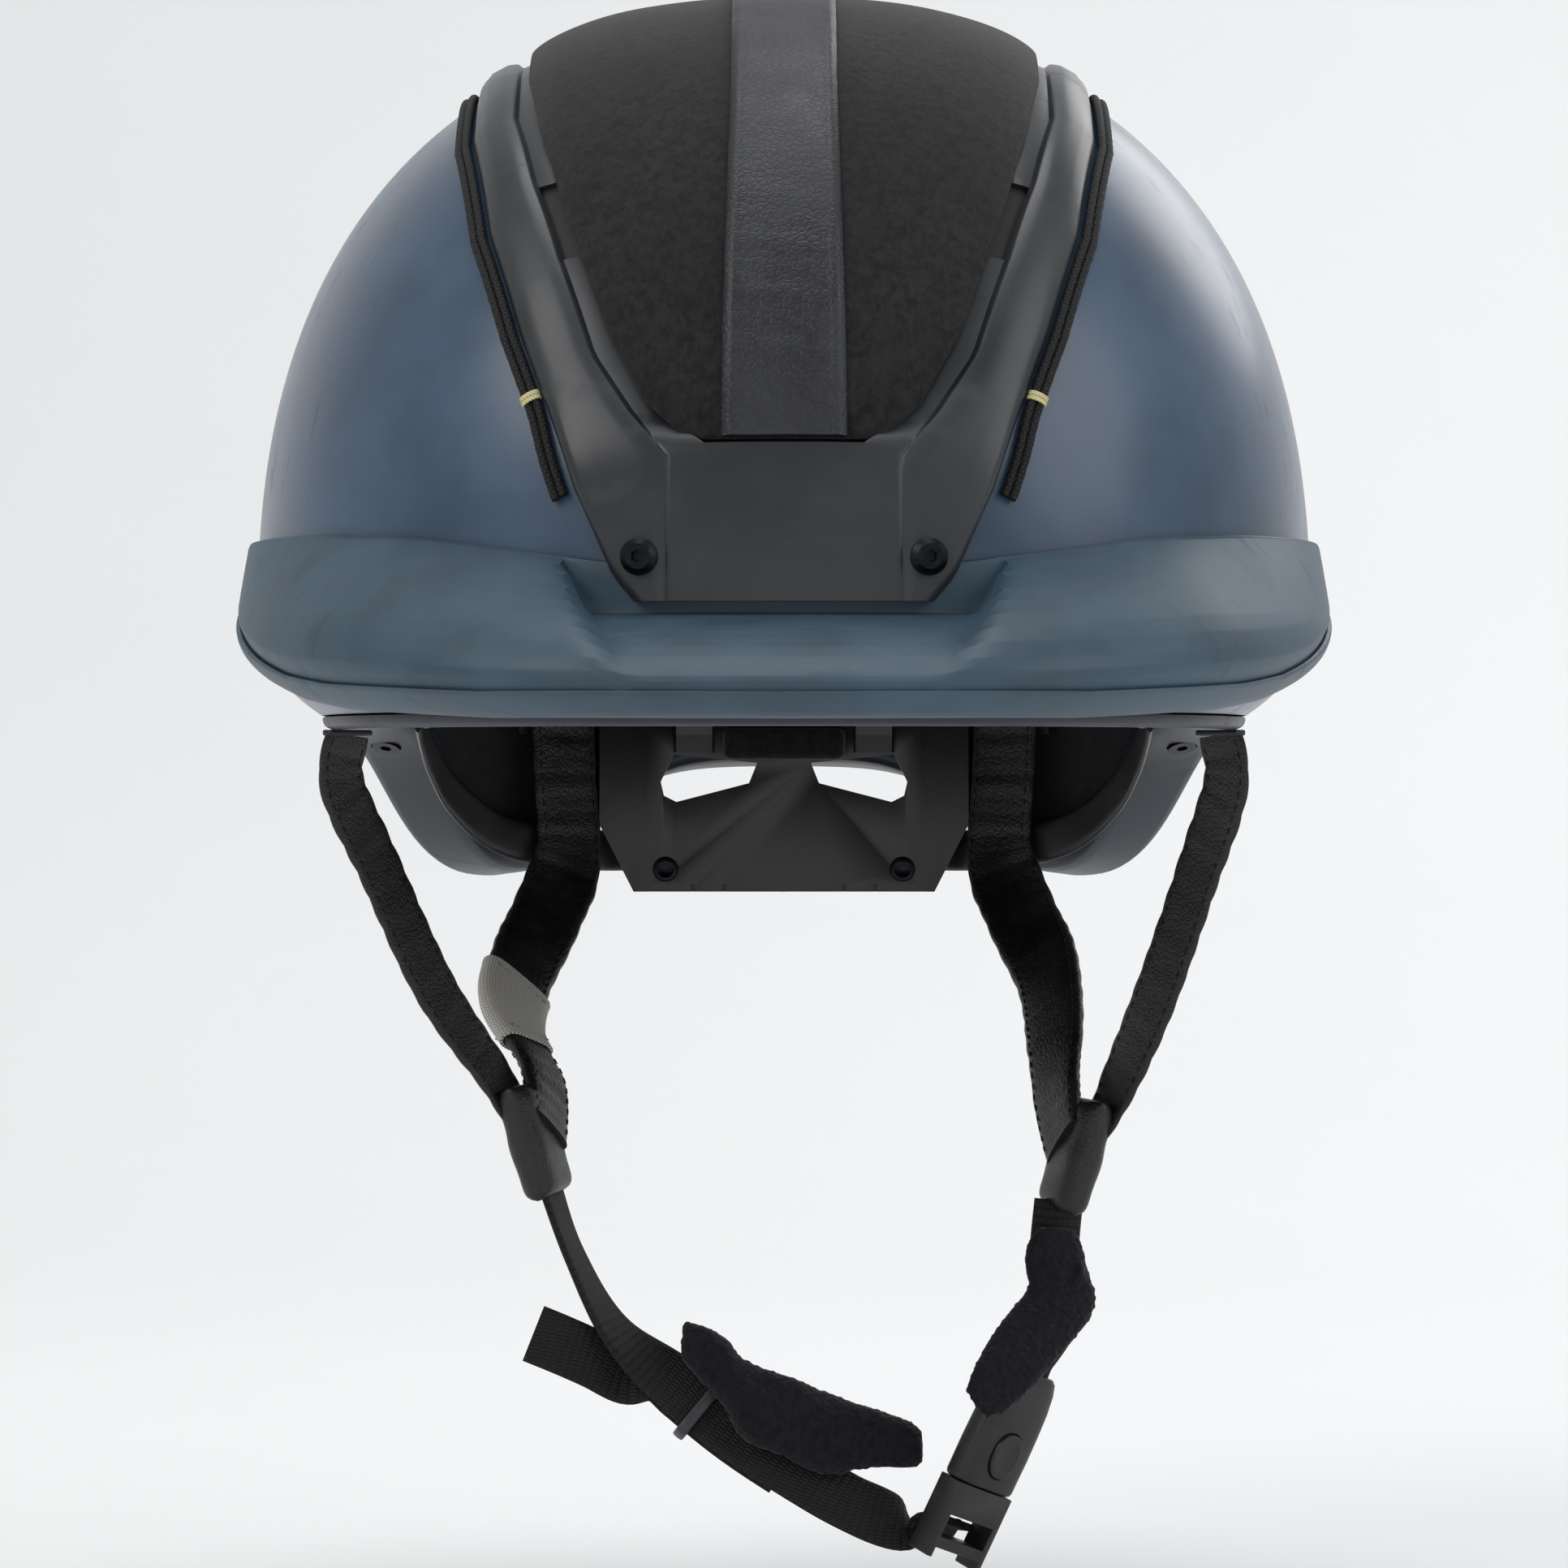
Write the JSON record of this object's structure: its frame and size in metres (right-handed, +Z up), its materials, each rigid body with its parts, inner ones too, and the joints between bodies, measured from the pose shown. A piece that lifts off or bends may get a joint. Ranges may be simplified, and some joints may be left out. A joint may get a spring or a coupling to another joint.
{
  "type": "riding helmet",
  "caption": "Equestrian riding helmet with a soft peak, a fabric-covered vent frame, a dial-fitted headring and a padded chin harness with a push-button buckle.",
  "frame": {"origin": "centre of the head opening at brow level", "axes": "+Z up to the crown, the front (peak) towards -Y, +X to the right of somebody facing the front"},
  "size_m": [0.224, 0.2999, 0.3278],
  "materials": {
    "shell_satin": "satin, blue grey",
    "bottom_navy": "satin navy",
    "foam": "black moulded foam",
    "peak_rubber": "matte slate blue",
    "frame_charcoal": "satin charcoal",
    "carrier_black": "matte black",
    "cover_fabric": "brushed microfibre",
    "strip_leather": "grained, semi matte",
    "screw_black": "black oxide",
    "cord_black": "braided",
    "thread_gold": "waxed thread",
    "padding": "brushed knit",
    "gasket_black": "matte",
    "strap_leatherette": "stitched leatherette",
    "label_cloth": "blank woven label",
    "webbing": "ribbed webbing",
    "keeper_rubber": "grey rubber",
    "fleece": "fleece",
    "buckle_plastic": "fine texture",
    "button_plastic": "satin",
    "spring_steel": "bright",
    "cradle_nylon": "satin black",
    "pinion_acetal": "natural white"
  },
  "bodies": {
    "helmet": {"outer_shell": "shell_satin", "bottom_shell": "bottom_navy", "eps_liner": "foam", "peak": "peak_rubber", "centre_frame": "frame_charcoal", "cover_carrier": "carrier_black", "vent_cover": "cover_fabric", "leather_strip": "strip_leather", "frame_screws": "screw_black", "elastic_cord_left": "cord_black", "elastic_cord_right": "cord_black", "cord_whippings": "thread_gold", "brow_pad": "padding", "crown_pad": "padding", "side_pad_left": "padding", "side_pad_right": "padding", "rim_screws": "screw_black", "strap_gaskets": "gasket_black", "front_strap_left": "strap_leatherette", "front_strap_right": "strap_leatherette", "rear_strap_left": "strap_leatherette", "rear_strap_right": "strap_leatherette", "rear_strap_anchors": "carrier_black", "label_loop": "label_cloth", "strap_junction_left": "strap_leatherette", "strap_junction_right": "strap_leatherette", "chin_strap": "webbing", "webbing_tail": "webbing", "chin_pad_left": "fleece", "chin_pad_right": "fleece", "buckle_strap": "webbing", "buckle_body": "buckle_plastic", "button_spring": "spring_steel", "cradle_plate": "cradle_nylon", "cradle_rivets": "screw_black", "cradle_hangers": "cradle_nylon", "nape_pad": "padding", "dial_housing": "cradle_nylon", "housing_screws": "screw_black", "headring_left": "cradle_nylon", "headring_right": "cradle_nylon", "temple_pins": "screw_black"},
    "dial": {"dial_knob": "gasket_black", "dial_pinion": "pinion_acetal"},
    "rack_left_body": {"rack_left": "cradle_nylon"},
    "rack_right_body": {"rack_right": "cradle_nylon"},
    "button": {"release_button": "button_plastic"},
    "tongue": {"buckle_tongue": "buckle_plastic"},
    "keeper": {"strap_keeper": "keeper_rubber"}
  },
  "joints": [
    {"name": "dial_spin", "type": "hinge", "parent": "helmet", "child": "dial", "pos_m": [0, 0.1002, -0.0278], "axis": [0, 1, 0], "range_deg": [-100, 100]},
    {"name": "rack_right_slide", "type": "slide", "parent": "helmet", "child": "rack_right_body", "axis": [1, 0, 0], "range_m": [-0.0075, 0.0075], "deforming": ["headring_right"]},
    {"name": "rack_left_slide", "type": "slide", "parent": "helmet", "child": "rack_left_body", "axis": [-1, 0, 0], "range_m": [-0.0075, 0.0075], "deforming": ["headring_left"]},
    {"name": "release_button_press", "type": "slide", "parent": "helmet", "child": "button", "axis": [-0.6064, 0.7431, 0.2828], "range_m": [0, 0.0016], "stiffness_N_per_m": 600, "deforming": ["button_spring"]},
    {"name": "buckle_release", "type": "slide", "parent": "helmet", "child": "tongue", "axis": [-0.4226, 0, -0.9063], "range_m": [0, 0.018], "deforming": ["chin_strap"]},
    {"name": "keeper_slide", "type": "slide", "parent": "helmet", "child": "keeper", "axis": [0.7731, -0.0704, -0.6304], "range_m": [-0.003, 0.003]}
  ],
  "couplings": [
    {"joint": "rack_right_slide", "follows": "dial_spin", "m_per_rad": 0.004},
    {"joint": "rack_left_slide", "follows": "dial_spin", "m_per_rad": 0.004}
  ]
}
